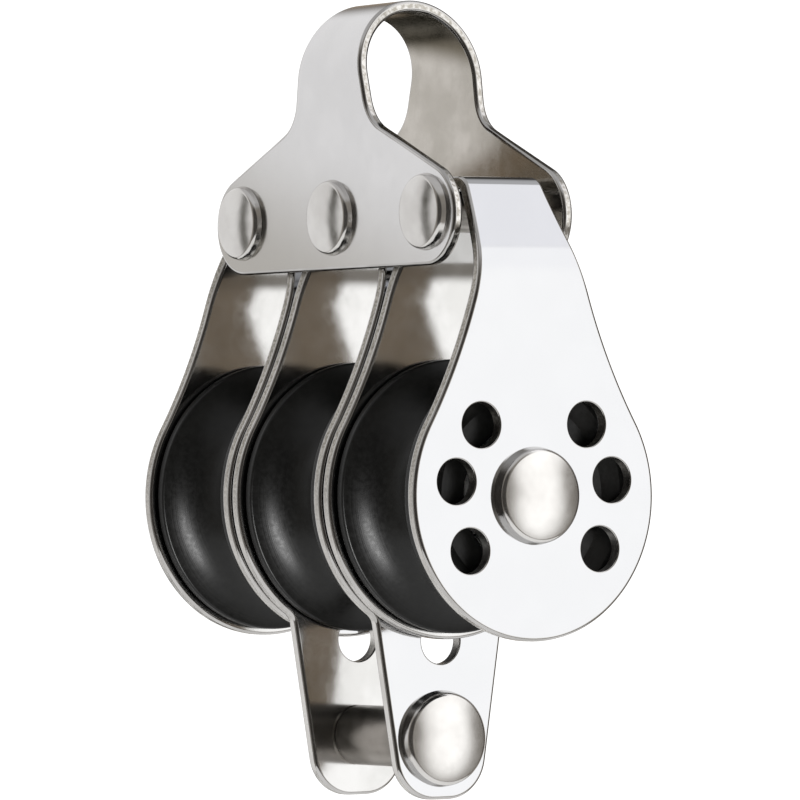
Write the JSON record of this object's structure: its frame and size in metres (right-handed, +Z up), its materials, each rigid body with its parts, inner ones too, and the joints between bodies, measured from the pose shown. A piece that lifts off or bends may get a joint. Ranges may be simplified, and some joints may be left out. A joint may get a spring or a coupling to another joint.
{
  "type": "triple sheave block",
  "caption": "Narrow riveted block: ball-bearing sheaves side by side in hooked steel straps, a bent-sheet bail on top and a becket below.",
  "frame": {"origin": "centre of the half-round eye at the top of the bail, midway along the bail's neck", "axes": "+X along the sheave axle and the eye, +Z up away from the sheaves, +Y from the front plate to the back plate"},
  "size_m": [0.0428, 0.023, 0.0645],
  "materials": {
    "strap_steel": "mirror polished stainless sheet with grainy sheared edges",
    "bail_steel": "satin polished stainless sheet",
    "rivet_steel": "turned and tumbled stainless",
    "sleeve_steel": "drawn stainless tube, dull",
    "race_steel": "ground steel",
    "sheave_plastic": "satin black acetal",
    "ball_plastic": "white acetal"
  },
  "bodies": {
    "frame": {"bail": "bail_steel", "left_strap": "strap_steel", "middle_strap": "strap_steel", "right_strap": "strap_steel", "left_inner_race": "race_steel", "middle_inner_race": "race_steel", "right_inner_race": "race_steel", "axle_rivet": "rivet_steel", "left_head_rivet": "rivet_steel", "middle_head_rivet": "rivet_steel", "right_head_rivet": "rivet_steel", "left_head_sleeve": "sleeve_steel", "middle_head_sleeve": "sleeve_steel", "right_head_sleeve": "sleeve_steel", "becket_rivet": "rivet_steel", "becket_spacer_tube": "sleeve_steel"},
    "left_sheave": {"left_sheave": "sheave_plastic"},
    "middle_sheave": {"middle_sheave": "sheave_plastic"},
    "right_sheave": {"right_sheave": "sheave_plastic"},
    "left_balls": {"left_ball_set": "ball_plastic"},
    "middle_balls": {"middle_ball_set": "ball_plastic"},
    "right_balls": {"right_ball_set": "ball_plastic"}
  },
  "joints": [
    {"name": "left_sheave_spin", "type": "hinge", "parent": "frame", "child": "left_sheave", "pos_m": [-0.0135, 0, -0.03415], "axis": [1, 0, 0], "continuous": true},
    {"name": "middle_sheave_spin", "type": "hinge", "parent": "frame", "child": "middle_sheave", "pos_m": [0, 0, -0.03415], "axis": [1, 0, 0], "continuous": true},
    {"name": "right_sheave_spin", "type": "hinge", "parent": "frame", "child": "right_sheave", "pos_m": [0.0135, 0, -0.03415], "axis": [1, 0, 0], "continuous": true},
    {"name": "left_balls_roll", "type": "hinge", "parent": "frame", "child": "left_balls", "pos_m": [-0.0135, 0, -0.03415], "axis": [1, 0, 0], "continuous": true},
    {"name": "middle_balls_roll", "type": "hinge", "parent": "frame", "child": "middle_balls", "pos_m": [0, 0, -0.03415], "axis": [1, 0, 0], "continuous": true},
    {"name": "right_balls_roll", "type": "hinge", "parent": "frame", "child": "right_balls", "pos_m": [0.0135, 0, -0.03415], "axis": [1, 0, 0], "continuous": true}
  ],
  "couplings": [
    {"joint": "left_balls_roll", "follows": "left_sheave_spin", "ratio": 0.64286},
    {"joint": "middle_balls_roll", "follows": "middle_sheave_spin", "ratio": 0.64286},
    {"joint": "right_balls_roll", "follows": "right_sheave_spin", "ratio": 0.64286}
  ]
}
